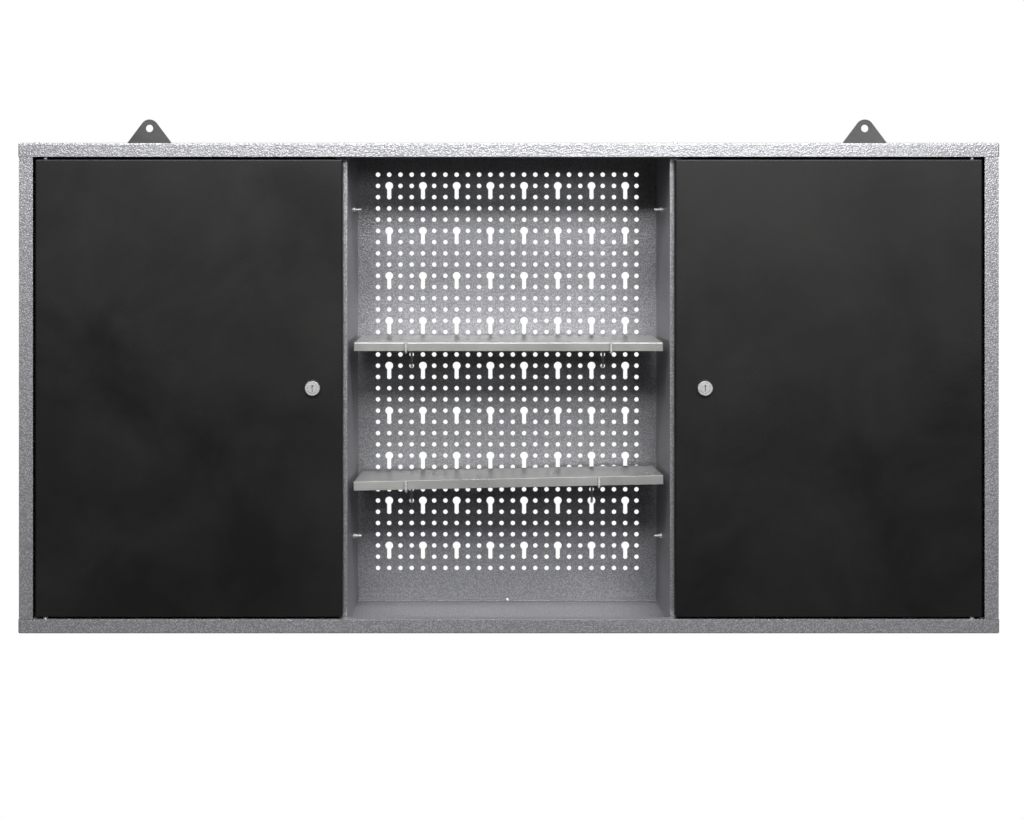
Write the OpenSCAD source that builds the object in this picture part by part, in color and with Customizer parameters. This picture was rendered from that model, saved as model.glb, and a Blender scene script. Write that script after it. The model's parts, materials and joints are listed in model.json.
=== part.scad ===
// Hanging wall cabinet: two doors, an open middle bay with a pegboard and two shelves.
// Millimetres. The wall is the plane Y = 0 and the cabinet stands out of it towards -Y.
// The origin is midway between the two hanging holes.

/* [Cabinet] */
// Outer width
cab_w = 1200; // [1170:1:1290]
// Outer height
cab_h = 600; // [600:1:640]
// Outer depth
cab_d = 200; // [200:1:260]
// Thickness of the folded steel sheet
sheet = 1; // [0.8:0.1:1]
// Height of the front lips of the top and bottom panels
lip_h = 17; // [16:1:20]
// Width of the front lips of the side panels
lip_w = 18; // [17:1:19]
// Depth of the return flange behind the top and bottom lips
return_d = 16; // [14:1:17]

/* [Doors] */
// Depth of the flange folded round each door
door_flange = 16; // [14:0.5:16]
// Gap above and below each door
door_gap = 3; // [2:0.5:4]
// How far the door face lies behind the front plane
door_inset = 0.5; // [0.3:0.1:1]
// Distance of the pivot from the door's outer edge
pivot_in = 11.5; // [11:0.5:13]
// Distance of the pivot behind the door's face
pivot_back = 6; // [6:0.5:7]
// Distance of the lock from the middle of the cabinet
lock_x = 240; // [238:1:242]

/* [Pegboard] */
// Columns of holes
peg_cols = 24; // [24]
// Rows of holes
peg_rows = 36; // [36]
// Pitch of the holes
peg_pitch = 15; // [15]
// Radius of a round hole
hole_r = 3; // [2.9:0.1:3.2]
// Radius of a keyhole's head
key_r = 5.2; // [4.8:0.1:5.6]
// Width of a keyhole's slot
key_slot = 5.4; // [5:0.1:5.6]

/* [Shelves] */
// Length of a shelf
shelf_w = 385; // [375:1:387]
// Depth of a shelf
shelf_d = 144; // [140:1:144]
// Height of the lip round a shelf
shelf_lip = 11; // [10:0.5:12]
// Radius of the hook wire
wire_r = 1.6; // [1.4:0.1:1.6]
// Tilt of the lower shelf's front edge upwards, degrees
low_pitch = 2.9; // [2.9]
// Slope of the lower shelf up to the right, degrees
low_roll = 1.2; // [1.2]

/* [Hanging lugs] */
// Distance between the two hanging holes
lug_spacing = 960; // [900:10:1000]
// Radius of a hanging hole
lug_hole_r = 5; // [4:0.5:5.5]
// Radius of a lug's rounded top
lug_top_r = 12; // [11:0.5:13]
// Height of the hanging holes above the cabinet's top
lug_rise = 30; // [28:1:32]
// Width of a lug at the cabinet's top
lug_w = 75; // [70:1:80]
// Thickness of a lug
lug_t = 2; // [2]

/* [Hidden] */
$fn = 48;
grey = "#9a9a9e";
black = "#262626";
zinc = "#c8c8c4";
dark = "#4a4a4a";
chrome = "#dcdcdc";

z0 = -(cab_h + lug_rise);      // the cabinet's underside
hx = cab_w / 2;                // half width
yb = -lug_t;                   // back plane
yf = yb - cab_d;               // front plane
bay = cab_w / 3;
div_x = bay / 2 - 1;           // inner face of a divider
div_y = yf + 18;               // front of a divider
peg_y = yb - 12;               // front face of the pegboard
door_x0 = div_x + 4.5;         // free edge of a door
door_x1 = hx - 20.5;           // hinge edge of a door
door_z0 = lip_h + door_gap;
door_z1 = cab_h - lip_h - door_gap;
door_y = yf + door_inset;      // face of a door
pivot_x = door_x1 - pivot_in;
pivot_y = door_y + pivot_back;
spigot_r = 2;
shank_r = 2.5;
run = 0.05;                    // running clearance of the pins and plugs
lock_z = cab_h / 2;
screw_xs = [div_x + 7, hx - 17];
screw_ys = [yf + 24, yb - 28];
relief = 0.6;                  // gap between two flanges that meet at a corner
lug_screw_z = cab_h - 8.5;
lug_screw_dx = 20;
shelf_y0 = yf + 34;            // front edge of a shelf
shelf_y1 = shelf_y0 + shelf_d;
function row_z(r) = cab_h - 32.5 - peg_pitch * r;
function col_x(c) = (c - (peg_cols - 1) / 2) * peg_pitch;
function is_key(c, r) = c % 3 == 1 && r % 4 == 1;
function is_slot(c, r) = c % 3 == 1 && r % 4 == 2;
arm_drop = 1.2;                // how far a hook's arm lies below the middle of its hole
up_arm = row_z(15) - arm_drop;
low_arm = row_z(27) - arm_drop;

// a block given by its lowest and highest corners, z measured from the cabinet's underside
module blk(a, b) { translate([a[0], a[1], a[2] + z0]) cube([b[0] - a[0], b[1] - a[1], b[2] - a[2]]); }
module sides() { for (s = [0, 1]) mirror([s, 0, 0]) children(); }
module rod_z(x, y, za, zb, r) { translate([x, y, za + z0]) cylinder(h = zb - za, r = r); }
module rod_y(x, z, ya, yb, r) { translate([x, ya, z + z0]) rotate([-90, 0, 0]) cylinder(h = yb - ya, r = r); }

// pan-head screw, head upwards, standing on z = 0
module pan_screw(r, head_r, head_h, len) {
    translate([0, 0, -len]) cylinder(h = len, r = r);
    difference() {
        cylinder(h = head_h, r1 = head_r, r2 = head_r * 0.75);
        for (a = [0, 90]) rotate([0, 0, a]) translate([-head_r * 0.5, -0.45, head_h - 1]) cube([head_r, 0.9, 2]);
    }
}

// The top is one folded sheet: a plate, a front rail (lip and return flange), a rear flange and two end flanges.
// The bottom is the same, turned over. s is 1 for the top and -1 for the bottom.
module turned(s) { if (s > 0) children(); else translate([0, 0, 2 * z0 + cab_h]) mirror([0, 0, 1]) children(); }
module cap_plate() difference() {
    blk([-hx, yf, cab_h - sheet], [hx, yb, cab_h]);
    sides() for (x = screw_xs, y = screw_ys) rod_z(x, y, cab_h - sheet - 1, cab_h + 1, 2.05);
}
module cap_front_rail() difference() {
    union() {
        blk([-hx, yf, cab_h - lip_h], [hx, yf + sheet, cab_h - sheet]);
        blk([-hx + 2.1, yf + 0.5, cab_h - lip_h], [hx - 2.1, yf + return_d, cab_h - lip_h + sheet]);
    }
    sides() rod_z(pivot_x, pivot_y, cab_h - lip_h - 1, cab_h - lip_h + sheet + 1, spigot_r + run);
}
module cap_end_flanges() sides() blk([hx - sheet, yf + sheet, cab_h - lip_h], [hx, yb - sheet, cab_h - sheet]);
module top_panel() color(grey) cap_plate();
module top_front_rail() color(grey) cap_front_rail();
module top_rear_flange() color(grey) difference() {
    blk([-hx, yb - sheet, cab_h - lip_h], [hx, yb, cab_h - sheet]);
    sides() for (d = [-1, 1]) rod_y(lug_spacing / 2 + d * lug_screw_dx, lug_screw_z, yb - sheet - 0.5, yb + 0.5, 2.1);
}
module top_end_flanges() color(grey) cap_end_flanges();
module bottom_panel() color(grey) difference() {
    turned(-1) cap_plate();
    rod_z(0, peg_y - 6, -1, sheet + 1, 1.55);
}
module bottom_front_rail() color(grey) turned(-1) cap_front_rail();
module bottom_rear_flange() color(grey) turned(-1) blk([-hx, yb - sheet, cab_h - lip_h], [hx, yb, cab_h - sheet]);
module bottom_end_flanges() color(grey) turned(-1) cap_end_flanges();

module side_panel() color(grey) {
    blk([hx - 2 * sheet, yf + sheet, sheet], [hx - sheet, yb - sheet, cab_h - sheet]);
    blk([hx - 2 * sheet, yf, lip_h + 0.5], [hx - sheet, yb, cab_h - lip_h - 0.5]);
}
module side_lips() color(grey) {
    blk([hx - lip_w, yf, lip_h + 0.5], [hx - 2 * sheet, yf + sheet, cab_h - lip_h - 0.5]);
    blk([hx - 16, yb - sheet, lip_h + 0.5], [hx - 2 * sheet, yb, cab_h - lip_h - 0.5]);
    difference() {
        for (z = [sheet, cab_h - 2 * sheet])
            blk([hx - 30, yf + return_d + 1, z], [hx - 2 * sheet, yb - 2 * sheet, z + sheet]);
        for (y = screw_ys) rod_z(screw_xs[1], y, -1, cab_h + 1, 2.05);
    }
}
module left_side_panel() mirror([1, 0, 0]) side_panel();
module right_side_panel() side_panel();
module left_side_lips() mirror([1, 0, 0]) side_lips();
module right_side_lips() side_lips();

module divider() color(grey)
    blk([div_x, div_y, sheet], [div_x + sheet, yb - 2 * sheet, cab_h - sheet]);
module divider_lips() color(grey) {
    blk([div_x + sheet, div_y, 2 * sheet], [div_x + 13, div_y + sheet, cab_h - 2 * sheet]);
    blk([div_x + sheet, yb - 3 * sheet, 2 * sheet], [div_x + 16, yb - 2 * sheet, cab_h - 2 * sheet]);
    difference() {
        for (z = [sheet, cab_h - 2 * sheet])
            blk([div_x + sheet, div_y + sheet + relief, z], [div_x + 16, yb - 3 * sheet - relief, z + sheet]);
        for (y = screw_ys) rod_z(screw_xs[0], y, -1, cab_h + 1, 2.05);
    }
}
module left_divider() mirror([1, 0, 0]) divider();
module right_divider() divider();
module left_divider_lips() mirror([1, 0, 0]) divider_lips();
module right_divider_lips() divider_lips();

module back_panel() color(grey) difference() {
    blk([div_x, yb - 2 * sheet, sheet], [hx - 2 * sheet, yb - sheet, cab_h - sheet]);
    for (d = [-1, 1]) rod_y(lug_spacing / 2 + d * lug_screw_dx, lug_screw_z, yb - 3 * sheet, yb, 2.1);
}
module left_back_panel() mirror([1, 0, 0]) back_panel();
module right_back_panel() back_panel();

module pegboard_panel() color(grey) {
    translate([0, peg_y + sheet, z0]) rotate([90, 0, 0]) linear_extrude(height = sheet) difference() {
        translate([-div_x, sheet]) square([2 * div_x, cab_h - 2 * sheet]);
        for (c = [0 : peg_cols - 1], r = [0 : peg_rows - 1])
            if (!is_key(c, r) && !is_slot(c, r)) translate([col_x(c), row_z(r)]) circle(r = hole_r);
        for (c = [0 : peg_cols - 1], r = [0 : peg_rows - 1])
            if (is_key(c, r)) {
                translate([col_x(c), row_z(r)]) circle(r = key_r);
                translate([col_x(c) - key_slot / 2, row_z(r + 1)]) square([key_slot, peg_pitch]);
                translate([col_x(c), row_z(r + 1)]) circle(r = hole_r);
            }
    }
    for (s = [0, 1]) mirror([s, 0, 0]) blk([div_x - sheet, peg_y, sheet], [div_x, yb - 2 * sheet, cab_h - sheet]);
}

// angle strip that holds the foot of the pegboard
module pegboard_rail() color(grey) difference() {
    union() {
        blk([-div_x, peg_y - 12, sheet], [div_x, peg_y, 2 * sheet]);
        blk([-div_x, peg_y - sheet, sheet], [div_x, peg_y, 8]);
    }
    rod_z(0, peg_y - 6, -1, 3, 1.55);
}
module pegboard_rail_screw() color(zinc) translate([0, peg_y - 6, z0 + 2 * sheet]) pan_screw(1.5, 3, 1.8, 2.5);

module lug() color(dark) {
    tx = atan2(lug_rise, lug_w / 2);
    ta = acos(lug_top_r / norm([lug_w / 2, lug_rise])) - tx;
    difference() {
        translate([lug_spacing / 2, 0, 0]) rotate([90, 0, 0]) linear_extrude(height = lug_t) difference() {
            polygon(concat([[-lug_w / 2, -lug_rise], [-lug_w / 2, -lug_rise - lip_h - 3],
                    [lug_w / 2, -lug_rise - lip_h - 3], [lug_w / 2, -lug_rise]],
                [for (i = [0 : 24]) let(a = ta + (180 - 2 * ta) * i / 24) [lug_top_r * cos(a), lug_top_r * sin(a)]]));
            circle(r = lug_hole_r);
        }
        for (d = [-1, 1]) translate([lug_spacing / 2 + d * lug_screw_dx, 0.05, lug_screw_z + z0])
            rotate([90, 0, 0]) cylinder(h = lug_t + 0.1, r1 = 4.1, r2 = 2.1);
    }
}
module left_hanging_lug() mirror([1, 0, 0]) lug();
module right_hanging_lug() lug();
module lug_screws() color(zinc) sides() for (d = [-1, 1])
    translate([lug_spacing / 2 + d * lug_screw_dx, 0, lug_screw_z + z0]) rotate([90, 0, 0]) difference() {
        union() {
            cylinder(h = lug_t, r1 = 4, r2 = 2);
            cylinder(h = 10, r = 2);
        }
        for (a = [0, 90]) rotate([0, 0, a]) translate([-2, -0.4, -1]) cube([4, 0.8, 2]);
    }
module lug_nuts() color(zinc) sides() for (d = [-1, 1])
    translate([lug_spacing / 2 + d * lug_screw_dx, yb - 2 * sheet, lug_screw_z + z0]) rotate([90, 0, 0]) difference() {
        cylinder(h = 3.2, r = 4.04, $fn = 6);
        translate([0, 0, -1]) cylinder(h = 6, r = 2.05);
    }

module top_screws() color(zinc) sides() for (x = screw_xs, y = screw_ys)
    translate([x, y, z0 + cab_h]) pan_screw(2, 4, 2.2, 8);
module bottom_screws() color(zinc) sides() for (x = screw_xs, y = screw_ys)
    translate([x, y, z0]) mirror([0, 0, 1]) pan_screw(2, 4, 2.2, 8);

// small pegs standing out of a divider into the middle bay
module divider_studs() color(zinc) for (z = [98, cab_h - 80]) translate([div_x, yf + 120, z + z0]) rotate([0, -90, 0]) {
    cylinder(h = 2.4, r = 3.2);
    cylinder(h = 9.5, r = 1.75);
}
module left_divider_studs() mirror([1, 0, 0]) divider_studs();
module right_divider_studs() divider_studs();

// a shelf with its rear top edge along the X axis
module shelf() color("#7d7d7b") difference() {
    translate([-shelf_w / 2, -shelf_d, -shelf_lip]) cube([shelf_w, shelf_d, shelf_lip]);
    translate([-shelf_w / 2 + sheet, -shelf_d + sheet, -shelf_lip - 1])
        cube([shelf_w - 2 * sheet, shelf_d - 2 * sheet, shelf_lip + 1 - sheet]);
}
module upper_shelf() translate([0, shelf_y1, z0 + up_arm + wire_r + 0.1 + shelf_lip]) shelf();
module lower_shelf() translate([0, shelf_y1, z0 + low_arm + wire_r + 3.3 + shelf_lip])
    rotate([0, -low_roll, 0]) rotate([-low_pitch, 0, 0]) shelf();

// quarter bend of wire in the YZ plane, from angle a0, and straight wires
module bend(y, z, r, a0) translate([0, y, z]) rotate([90, 0, 90]) rotate([0, 0, a0])
    rotate_extrude(angle = 90) translate([r, 0]) circle(r = wire_r, $fn = 32);
module wire_y(ya, yb, z) translate([0, ya, z]) rotate([-90, 0, 0]) cylinder(h = yb - ya, r = wire_r, $fn = 32);
module wire_z(y, za, zb) translate([0, y, za]) cylinder(h = zb - za, r = wire_r, $fn = 32);

// hook: an arm under the shelf, turned up at both ends, and a leg down to the hole two rows below
module hook(x, z, tilt, longer = 0) color(zinc) translate([x, peg_y + sheet / 2, z + z0]) rotate([-tilt, 0, 0]) {
    back = 5.5;
    tip = shelf_y0 - 2.6 - longer - (peg_y + sheet / 2);
    wire_y(tip + 2.5, back - 4, 0);
    bend(tip + 2.5, 2.5, 2.5, 180);
    wire_z(tip, 2.5, 13);
    bend(back - 4, 4, 4, 270);
    wire_z(back, 4, 10);
    wire_z(-2.5, -26, 0);
    bend(1.5, -26, 4, 180);
    wire_y(1.5, back, -30);
}
module upper_left_hook() hook(col_x(3), up_arm, 0);
module upper_right_hook() hook(col_x(20), up_arm, 0);
module lower_left_hook() hook(col_x(3), low_arm, 2.65);
module lower_right_hook() hook(col_x(19), low_arm, 4.7, 0.9);

module door() color(black) difference() {
    blk([door_x0, door_y, door_z0], [door_x1, door_y + door_flange, door_z1]);
    blk([door_x0 + sheet, door_y + sheet, door_z0 + sheet], [door_x1 - sheet, door_y + door_flange + 1, door_z1 - sheet]);
    rod_y(lock_x, lock_z, door_y - 1, door_y + sheet + 1, 8.1);
    rod_z(pivot_x, pivot_y, door_z0 - 1, door_z0 + sheet + 1, shank_r + run);
    rod_z(pivot_x, pivot_y, door_z1 - sheet - 1, door_z1 + 1, shank_r + run);
}
module left_door() mirror([1, 0, 0]) door();
module right_door() door();

// shoulder pins: the head lies inside the door, the shoulder on the cabinet's return flange
module door_pins() color(zinc) {
    rod_z(pivot_x, pivot_y, door_z0 + sheet, door_z0 + sheet + 2, 4);
    rod_z(pivot_x, pivot_y, lip_h + run, door_z0 + sheet, shank_r);
    rod_z(pivot_x, pivot_y, lip_h - 7, lip_h + run, spigot_r);
    rod_z(pivot_x, pivot_y, door_z1 - sheet - 2, door_z1 - sheet, 4);
    rod_z(pivot_x, pivot_y, door_z1 - sheet, cab_h - lip_h - run, shank_r);
    rod_z(pivot_x, pivot_y, cab_h - lip_h - run, cab_h - lip_h + 7, spigot_r);
}
module left_door_pins() mirror([1, 0, 0]) door_pins();
module right_door_pins() door_pins();

// cam lock along Y, drawn about its own axis, +Z of the children pointing out of the door's face
module at_lock() translate([lock_x, door_y, lock_z + z0]) rotate([90, 0, 0]) children();
module lock_bezel() color("#101010") at_lock() difference() {
    cylinder(h = 1.5, r1 = 11, r2 = 10.4);
    translate([0, 0, -1]) cylinder(h = 4, r = 8.1);
}
module lock_housing() color(chrome) at_lock() difference() {
    union() {
        translate([0, 0, 1.5]) cylinder(h = 1.4, r = 9);
        translate([0, 0, 2.9]) cylinder(h = 0.6, r1 = 9, r2 = 8.4);
        translate([0, 0, -17.5]) cylinder(h = 19, r = 8);
    }
    translate([0, 0, -19]) cylinder(h = 24, r = 6 + run);
}
module lock_nut() color(zinc) at_lock() translate([0, 0, -sheet - 4]) difference() {
    cylinder(h = 4, r = 12, $fn = 6);
    translate([0, 0, -1]) cylinder(h = 6, r = 8.1);
}
module lock_plug() color(chrome) at_lock() difference() {
    union() {
        translate([0, 0, -20]) cylinder(h = 23.3, r = 6);
        translate([0, 0, 3.3]) cylinder(h = 0.5, r1 = 6, r2 = 5.5);
    }
    translate([-0.8, -4, 0.8]) cube([1.6, 8, 4]);
    translate([0, 0, -21]) cylinder(h = 10, r = 2.05);
}
module lock_cam() color(zinc) at_lock() translate([0, 0, -22]) linear_extrude(height = 2) difference() {
    union() {
        circle(r = 7.5);
        translate([-5.5, -35]) square([11, 35]);
    }
    circle(r = 2.05);
}
module lock_cam_screw() color(zinc) at_lock() translate([0, 0, -22]) mirror([0, 0, 1]) pan_screw(2, 4, 2.2, 9);
module left_lock_bezel() mirror([1, 0, 0]) lock_bezel();
module left_lock_housing() mirror([1, 0, 0]) lock_housing();
module left_lock_nut() mirror([1, 0, 0]) lock_nut();
module left_lock_plug() mirror([1, 0, 0]) lock_plug();
module left_lock_cam() mirror([1, 0, 0]) lock_cam();
module left_lock_cam_screw() mirror([1, 0, 0]) lock_cam_screw();
module right_lock_bezel() lock_bezel();
module right_lock_housing() lock_housing();
module right_lock_nut() lock_nut();
module right_lock_plug() lock_plug();
module right_lock_cam() lock_cam();
module right_lock_cam_screw() lock_cam_screw();

top_panel();
bottom_panel();
top_front_rail();
top_rear_flange();
top_end_flanges();
bottom_front_rail();
bottom_rear_flange();
bottom_end_flanges();
left_side_panel();
right_side_panel();
left_divider();
right_divider();
left_side_lips();
right_side_lips();
left_divider_lips();
right_divider_lips();
left_back_panel();
right_back_panel();
pegboard_panel();
pegboard_rail();
pegboard_rail_screw();
left_hanging_lug();
right_hanging_lug();
lug_screws();
lug_nuts();
top_screws();
bottom_screws();
left_divider_studs();
right_divider_studs();
upper_shelf();
lower_shelf();
upper_left_hook();
upper_right_hook();
lower_left_hook();
lower_right_hook();
left_door();
right_door();
left_door_pins();
right_door_pins();
left_lock_bezel();
left_lock_housing();
left_lock_nut();
left_lock_plug();
left_lock_cam();
left_lock_cam_screw();
right_lock_bezel();
right_lock_housing();
right_lock_nut();
right_lock_plug();
right_lock_cam();
right_lock_cam_screw();
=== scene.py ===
import json
import math
import bpy
import bmesh
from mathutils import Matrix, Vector


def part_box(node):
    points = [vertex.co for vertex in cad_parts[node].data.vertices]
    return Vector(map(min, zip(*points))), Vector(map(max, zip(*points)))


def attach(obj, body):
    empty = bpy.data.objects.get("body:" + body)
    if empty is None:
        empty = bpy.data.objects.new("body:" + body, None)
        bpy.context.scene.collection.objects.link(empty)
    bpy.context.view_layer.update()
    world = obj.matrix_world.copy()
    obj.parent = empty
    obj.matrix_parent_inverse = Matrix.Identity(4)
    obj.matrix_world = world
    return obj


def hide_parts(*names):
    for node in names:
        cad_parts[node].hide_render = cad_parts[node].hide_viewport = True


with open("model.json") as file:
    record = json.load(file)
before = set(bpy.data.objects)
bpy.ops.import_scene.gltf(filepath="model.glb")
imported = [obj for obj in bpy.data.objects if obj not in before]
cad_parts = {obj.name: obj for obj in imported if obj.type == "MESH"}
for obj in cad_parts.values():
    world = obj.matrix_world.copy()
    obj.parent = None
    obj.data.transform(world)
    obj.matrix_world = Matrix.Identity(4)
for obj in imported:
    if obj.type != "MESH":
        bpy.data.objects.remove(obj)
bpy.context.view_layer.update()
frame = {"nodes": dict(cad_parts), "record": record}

nodes = frame["nodes"]
scene = bpy.context.scene

# ---------------------------------------------------------------- materials

def new_mat(name):
    m = bpy.data.materials.new(name)
    m.use_nodes = True
    nt = m.node_tree
    bsdf = nt.nodes["Principled BSDF"]
    co = nt.nodes.new("ShaderNodeTexCoord")
    return m, nt, bsdf, co.outputs["Object"]


def noise(nt, vec, scale, detail=3.0, rough=0.55, dist=0.0):
    n = nt.nodes.new("ShaderNodeTexNoise")
    n.inputs["Scale"].default_value = scale
    n.inputs["Detail"].default_value = detail
    n.inputs["Roughness"].default_value = rough
    n.inputs["Distortion"].default_value = dist
    nt.links.new(vec, n.inputs["Vector"])
    return n.outputs["Fac"]


def voronoi(nt, vec, scale, feature="SMOOTH_F1", smooth=0.6):
    n = nt.nodes.new("ShaderNodeTexVoronoi")
    n.feature = feature
    n.inputs["Scale"].default_value = scale
    if "Smoothness" in n.inputs:
        n.inputs["Smoothness"].default_value = smooth
    nt.links.new(vec, n.inputs["Vector"])
    return n.outputs["Distance"]


def ramp(nt, fac, stops):
    n = nt.nodes.new("ShaderNodeValToRGB")
    cr = n.color_ramp
    while len(cr.elements) < len(stops):
        cr.elements.new(0.5)
    for e, (p, c) in zip(cr.elements, stops):
        e.position = p
        e.color = (*c, 1.0) if len(c) == 3 else c
    nt.links.new(fac, n.inputs["Fac"])
    return n.outputs["Color"]


def maprange(nt, fac, a, b, c, d):
    n = nt.nodes.new("ShaderNodeMapRange")
    for i, v in zip(("From Min", "From Max", "To Min", "To Max"), (a, b, c, d)):
        n.inputs[i].default_value = v
    nt.links.new(fac, n.inputs["Value"])
    return n.outputs["Result"]


def mix(nt, fac, a, b, mode="MIX"):
    n = nt.nodes.new("ShaderNodeMix")
    n.data_type = "RGBA"
    n.blend_type = mode
    if isinstance(fac, float):
        n.inputs["Factor"].default_value = fac
    else:
        nt.links.new(fac, n.inputs["Factor"])
    for sock, v in (("A", a), ("B", b)):
        s = [i for i in n.inputs if i.name == sock and i.type == "RGBA"][0]
        if isinstance(v, tuple):
            s.default_value = (*v, 1.0)
        else:
            nt.links.new(v, s)
    return [o for o in n.outputs if o.type == "RGBA"][0]


def add(nt, a, b, op="ADD"):
    n = nt.nodes.new("ShaderNodeMath")
    n.operation = op
    for i, v in enumerate((a, b)):
        if isinstance(v, float):
            n.inputs[i].default_value = v
        else:
            nt.links.new(v, n.inputs[i])
    return n.outputs[0]


def bump(nt, bsdf, height, strength, distance):
    n = nt.nodes.new("ShaderNodeBump")
    n.inputs["Strength"].default_value = strength
    n.inputs["Distance"].default_value = distance
    nt.links.new(height, n.inputs["Height"])
    nt.links.new(n.outputs["Normal"], bsdf.inputs["Normal"])


def hammertone():
    m, nt, b, v = new_mat("hammertone_grey")
    cells = voronoi(nt, v, 560.0, smooth=0.8)
    fine = noise(nt, v, 900.0, 2.0)
    wide = noise(nt, v, 9.0, 3.0)
    col = ramp(nt, cells, [(0.12, (0.47, 0.47, 0.49)), (0.55, (0.25, 0.25, 0.265))])
    col = mix(nt, maprange(nt, wide, 0.35, 0.65, 0.0, 0.22), col, (0.27, 0.27, 0.285))
    nt.links.new(col, b.inputs["Base Color"])
    nt.links.new(maprange(nt, fine, 0.3, 0.7, 0.28, 0.42), b.inputs["Roughness"])
    b.inputs["Metallic"].default_value = 0.55
    bump(nt, b, add(nt, cells, add(nt, fine, 0.35, "MULTIPLY")), 0.6, 0.0005)
    return m


def black_texture():
    m, nt, b, v = new_mat("black_textured_paint")
    pits = voronoi(nt, v, 950.0, smooth=0.9)
    fine = noise(nt, v, 1600.0, 2.0)
    wide = noise(nt, v, 7.0, 4.0, 0.6, 0.4)
    col = ramp(nt, wide, [(0.3, (0.006, 0.006, 0.006)), (0.7, (0.010, 0.010, 0.0098))])
    nt.links.new(col, b.inputs["Base Color"])
    nt.links.new(maprange(nt, wide, 0.3, 0.7, 0.36, 0.47), b.inputs["Roughness"])
    b.inputs["Specular IOR Level"].default_value = 0.22
    bump(nt, b, add(nt, pits, add(nt, fine, 0.5, "MULTIPLY")), 0.35, 0.00022)
    return m


def satin_paint(name, lo, hi, metal=0.3, rough=(0.3, 0.45), scale=700.0, grain=0.22):
    m, nt, b, v = new_mat(name)
    wide = noise(nt, v, 14.0, 4.0, 0.6)
    fine = noise(nt, v, scale, 2.0)
    nt.links.new(ramp(nt, wide, [(0.3, lo), (0.7, hi)]), b.inputs["Base Color"])
    nt.links.new(maprange(nt, wide, 0.3, 0.7, *rough), b.inputs["Roughness"])
    b.inputs["Metallic"].default_value = metal
    bump(nt, b, fine, grain, 0.0002)
    return m


def zinc():
    m, nt, b, v = new_mat("zinc_plate")
    mp = nt.nodes.new("ShaderNodeMapping")
    mp.inputs["Scale"].default_value = (1.0, 0.08, 1.0)
    nt.links.new(v, mp.inputs["Vector"])
    grain = noise(nt, mp.outputs["Vector"], 1500.0, 3.0)
    wide = noise(nt, v, 120.0, 3.0)
    nt.links.new(ramp(nt, wide, [(0.3, (0.60, 0.60, 0.58)), (0.7, (0.78, 0.78, 0.77))]), b.inputs["Base Color"])
    nt.links.new(maprange(nt, grain, 0.3, 0.7, 0.2, 0.36), b.inputs["Roughness"])
    b.inputs["Metallic"].default_value = 0.6
    bump(nt, b, grain, 0.15, 0.0001)
    return m


def chrome():
    m, nt, b, v = new_mat("chrome_lock")
    fine = noise(nt, v, 500.0, 3.0)
    nt.links.new(ramp(nt, fine, [(0.3, (0.40, 0.40, 0.40)), (0.7, (0.46, 0.46, 0.46))]), b.inputs["Base Color"])
    nt.links.new(maprange(nt, fine, 0.3, 0.7, 0.22, 0.34), b.inputs["Roughness"])
    b.inputs["Metallic"].default_value = 0.35
    bump(nt, b, fine, 0.05, 0.00005)
    return m


def plastic():
    m, nt, b, v = new_mat("black_plastic")
    fine = noise(nt, v, 900.0, 2.0)
    nt.links.new(ramp(nt, fine, [(0.3, (0.010, 0.010, 0.010)), (0.7, (0.018, 0.018, 0.018))]), b.inputs["Base Color"])
    nt.links.new(maprange(nt, fine, 0.3, 0.7, 0.3, 0.42), b.inputs["Roughness"])
    bump(nt, b, fine, 0.1, 0.0001)
    return m


MATS = {
    "hammertone": hammertone(),
    "black_paint": black_texture(),
    "shelf_paint": satin_paint("shelf_grey_paint", (0.27, 0.27, 0.262), (0.34, 0.34, 0.33), 0.45, (0.26, 0.36)),
    # Painted shade: the lugs wear the carcass's grey hammertone, and this near-black copy paints the shade they sit
    # in at the back of the cabinet into their colour.
    "lug_paint": satin_paint("lug_painted_shade_paint", (0.024, 0.024, 0.025), (0.045, 0.045, 0.046), 0.2, (0.38, 0.5), 900.0, 0.7),
    "zinc": zinc(),
    "chrome": chrome(),
    "black_plastic": plastic(),
}
SLOT = {s["node"]: s["material_slot"] for s in frame["record"]["subparts"]}


def dress(o, mat):
    o.data.materials.clear()
    o.data.materials.append(mat)


def soften(o, width, segments=2):
    """Breaks the sharp edges so that they catch light: weld the split vertices, bevel, reweigh the normals."""
    w = o.modifiers.new("weld", "WELD")
    w.merge_threshold = 1e-6
    if width:
        b = o.modifiers.new("edges", "BEVEL")
        b.width = width
        b.segments = segments
        b.limit_method = "ANGLE"
        b.angle_limit = math.radians(40)
        b.use_clamp_overlap = True
    n = o.modifiers.new("normals", "WEIGHTED_NORMAL")
    n.keep_sharp = False
    n.weight = 60


for name, o in nodes.items():
    dress(o, MATS[SLOT[name]])
    whole = not name.endswith(("_side_panel", "_divider", "_lips", "_back_panel", "pegboard_panel"))
    if whole and SLOT[name] in ("hammertone", "shelf_paint", "black_paint"):
        soften(o, 0.0004)

# ---------------------------------------------------------------- folded sheet shells

SHEET = 0.001


def cutter(loc, r, axis, depth=0.02):
    bm = bmesh.new()
    bmesh.ops.create_cone(bm, cap_ends=True, segments=48, radius1=r, radius2=r, depth=depth)
    me = bpy.data.meshes.new("cut")
    bm.to_mesh(me)
    bm.free()
    o = bpy.data.objects.new("cut", me)
    o.location = loc
    if axis == "Y":
        o.rotation_euler = (math.radians(90), 0, 0)
    scene.collection.objects.link(o)
    return o


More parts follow.
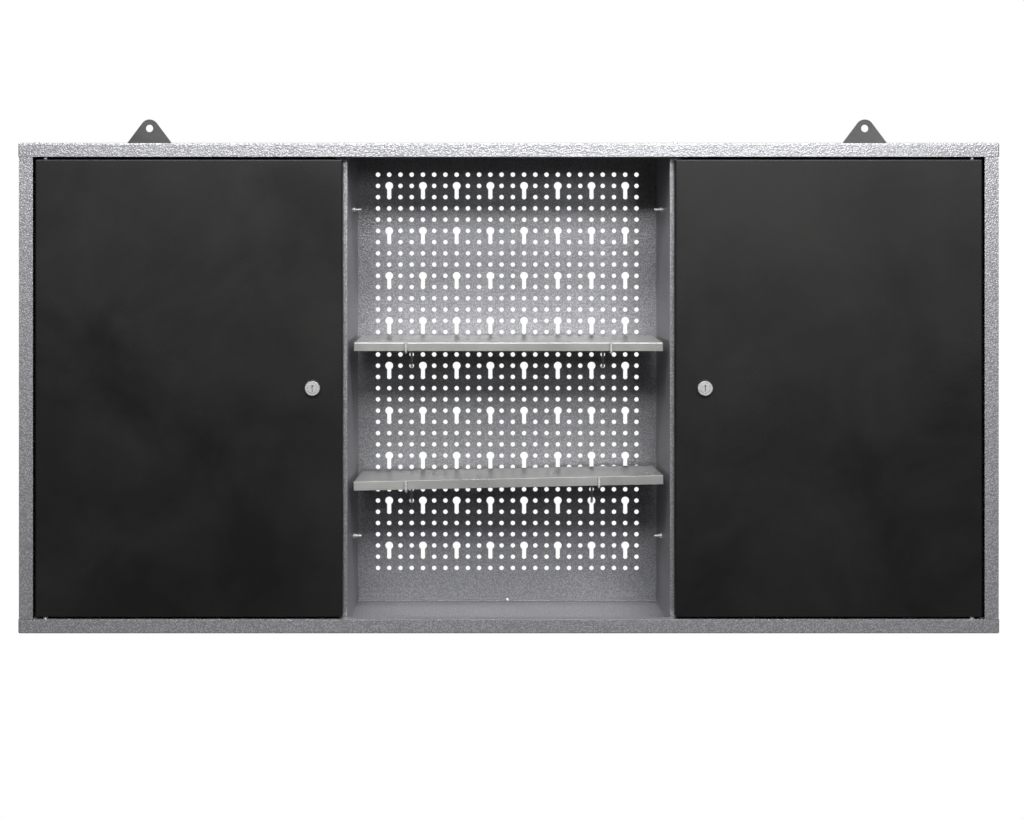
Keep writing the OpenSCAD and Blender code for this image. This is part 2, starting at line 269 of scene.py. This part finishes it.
def tray(name, lo, hi, open_dir, radius, cuts=(), strips=()):
    """A folded sheet tray: a box without the face towards open_dir, its bends rounded, with the sheet's thickness inside."""
    bm = bmesh.new()
    bmesh.ops.create_cube(bm, size=1.0)
    lo, hi = Vector(lo), Vector(hi)
    for v in bm.verts:
        v.co = Vector([lo[i] + (v.co[i] + 0.5) * (hi[i] - lo[i]) for i in range(3)])
    d = Vector(open_dir)
    gone = [f for f in bm.faces if f.normal.dot(d) > 0.9]
    bmesh.ops.delete(bm, geom=gone, context="FACES_ONLY")
    bends = [e for e in bm.edges if len(e.link_faces) == 2]
    bmesh.ops.bevel(bm, geom=bends, offset=radius, segments=5, profile=0.5, affect="EDGES", clamp_overlap=True)
    me = bpy.data.meshes.new(name)
    bm.to_mesh(me)
    bm.free()
    o = bpy.data.objects.new(name, me)
    scene.collection.objects.link(o)
    sol = o.modifiers.new("thickness", "SOLIDIFY")
    sol.thickness = SHEET
    sol.offset = -1.0
    sol.use_even_offset = True
    made = []
    for c in cuts:
        k = cutter(*c)
        b = o.modifiers.new("hole", "BOOLEAN")
        b.operation = "DIFFERENCE"
        b.solver = "EXACT"
        b.object = k
        made.append(k)
    bpy.context.view_layer.update()
    dg = bpy.context.evaluated_depsgraph_get()
    final = bpy.data.meshes.new_from_object(o.evaluated_get(dg))
    o.modifiers.clear()
    o.data = final
    for k in made:
        bpy.data.objects.remove(k)
    if strips:
        bm = bmesh.new()
        bm.from_mesh(o.data)
        for a, b in strips:
            a, b = Vector(a), Vector(b)
            r = bmesh.ops.create_cube(bm, size=1.0)
            for v in r["verts"]:
                v.co = Vector([a[i] + (v.co[i] + 0.5) * (b[i] - a[i]) for i in range(3)])
        bm.to_mesh(o.data)
        bm.free()
    o.data.name = name
    for p in o.data.polygons:
        p.use_smooth = True
    b = o.modifiers.new("edges", "BEVEL")
    b.width = 0.00022
    b.segments = 1
    b.limit_method = "ANGLE"
    b.angle_limit = math.radians(55)
    n = o.modifiers.new("normals", "WEIGHTED_NORMAL")
    n.weight = 80
    n.keep_sharp = False
    return o


def span(names):
    """The box round several CAD nodes."""
    boxes = [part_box(n) for n in names]
    return (Vector([min(b[0][i] for b in boxes) for i in range(3)]),
            Vector([max(b[1][i] for b in boxes) for i in range(3)]))


def shell(names, body, open_dir, radius, mat, cuts=(), strips=()):
    names = [names] if isinstance(names, str) else names
    lo, hi = span(names)
    o = tray(names[0] + "_folded", lo, hi, open_dir, radius, cuts, strips)
    dress(o, MATS[mat])
    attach(o, body)
    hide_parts(*names)
    return o


for side in ("left", "right"):
    sx = -1 if side == "left" else 1
    lo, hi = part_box(side + "_door")
    c0, c1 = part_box(side + "_lock_bezel")
    p0, p1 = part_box(side + "_door_pins")
    px, py = (p0.x + p1.x) / 2, (p0.y + p1.y) / 2
    shell(side + "_door", side + "_door", (0, 1, 0), 0.0022, "black_paint",
          cuts=[(((c0.x + c1.x) / 2, lo.y, (c0.z + c1.z) / 2), 0.0081, "Y"),
                ((px, py, lo.z), 0.00255, "Z", 0.004), ((px, py, hi.z), 0.00255, "Z", 0.004)])

RET = 0.016
TOP = ["top_panel", "top_front_rail", "top_rear_flange", "top_end_flanges"]
BOTTOM = ["bottom_panel", "bottom_front_rail", "bottom_rear_flange", "bottom_end_flanges"]
lo, hi = span(TOP)
shell(TOP, "carcass", (0, 0, -1), 0.0018, "hammertone",
      strips=[((lo.x + 0.0021, lo.y + 0.0009, lo.z), (hi.x - 0.0021, lo.y + RET, lo.z + SHEET))])
lo, hi = span(BOTTOM)
shell(BOTTOM, "carcass", (0, 0, 1), 0.0018, "hammertone",
      strips=[((lo.x + 0.0021, lo.y + 0.0009, hi.z - SHEET), (hi.x - 0.0021, lo.y + RET, hi.z))])
shell("upper_shelf", "carcass", (0, 0, -1), 0.0016, "shelf_paint")

# ---------------------------------------------------------------- stage

def plane(name, size, loc, rot=(0, 0, 0)):
    me = bpy.data.meshes.new(name)
    sx, sy = size[0] / 2, size[1] / 2
    me.from_pydata([(-sx, -sy, 0), (sx, -sy, 0), (sx, sy, 0), (-sx, sy, 0)], [], [(0, 1, 2, 3)])
    o = bpy.data.objects.new(name, me)
    o.location = loc
    o.rotation_euler = rot
    scene.collection.objects.link(o)
    return o


floor = plane("floor", (5.0, 2.5), (0, -0.2, -1.35))
fm, fnt, fb, fv = new_mat("grey_floor")
fnt.links.new(ramp(fnt, noise(fnt, fv, 2.0), [(0.3, (0.22, 0.22, 0.22)), (0.7, (0.26, 0.26, 0.26))]), fb.inputs["Base Color"])
fb.inputs["Roughness"].default_value = 0.8
floor.data.materials.append(fm)

world = bpy.data.worlds.new("studio")
scene.world = world
world.use_nodes = True
wnt = world.node_tree
wnt.nodes.clear()
out = wnt.nodes.new("ShaderNodeOutputWorld")
lit = wnt.nodes.new("ShaderNodeBackground")
seen = wnt.nodes.new("ShaderNodeBackground")
mixw = wnt.nodes.new("ShaderNodeMixShader")
lp = wnt.nodes.new("ShaderNodeLightPath")
tc = wnt.nodes.new("ShaderNodeTexCoord")
sep = wnt.nodes.new("ShaderNodeSeparateXYZ")
wnt.links.new(tc.outputs["Generated"], sep.inputs["Vector"])
wnt.links.new(ramp(wnt, maprange(wnt, sep.outputs["Z"], -1.0, 1.0, 0.0, 1.0),
                   [(0.40, (0.06, 0.06, 0.06)), (0.5, (0.16, 0.16, 0.165)), (0.75, (1.0, 1.0, 1.0))]), lit.inputs["Color"])
lit.inputs["Strength"].default_value = 0.08
seen.inputs["Color"].default_value = (1, 1, 1, 1)
seen.inputs["Strength"].default_value = 1.0
wnt.links.new(lp.outputs["Is Camera Ray"], mixw.inputs["Fac"])
wnt.links.new(lit.outputs["Background"], mixw.inputs[1])
wnt.links.new(seen.outputs["Background"], mixw.inputs[2])
wnt.links.new(mixw.outputs["Shader"], out.inputs["Surface"])


def area(name, loc, target, sx, sy, watts, col=(1, 1, 1)):
    l = bpy.data.lights.new(name, "AREA")
    l.shape = "RECTANGLE"
    l.size, l.size_y = sx, sy
    l.energy = watts
    l.color = col
    o = bpy.data.objects.new(name, l)
    o.location = loc
    o.rotation_euler = (Vector(target) - Vector(loc)).to_track_quat("-Z", "Y").to_euler()
    scene.collection.objects.link(o)


area("front", (0.1, -2.4, 0.85), (0.0, -0.2, -0.2), 2.2, 0.4, 55.0)
area("key", (0.75, -2.4, 0.2), (0.1, -0.2, -0.25), 0.5, 0.3, 4.0)
area("top", (0.0, -1.5, 1.3), (0.0, -0.2, -0.1), 2.4, 0.6, 34.0)
area("lips", (0.15, -0.95, 0.7), (0.1, -0.2, -0.1), 2.6, 0.15, 22.0)
area("rear", (0.0, 1.6, 0.9), (0.0, 0.0, -0.3), 2.0, 1.0, 4.0)

cam = bpy.data.cameras.new("camera")
cam.sensor_width = 36.0
cam.lens = 58.95
cam.shift_x = 0.0215
cam.shift_y = -0.1741
cam.clip_end = 50.0
co = bpy.data.objects.new("camera", cam)
co.location = (-0.023, -2.252, -0.138)
co.rotation_euler = (math.radians(90), 0, 0)
scene.collection.objects.link(co)
scene.camera = co
scene.view_settings.view_transform = "Standard"
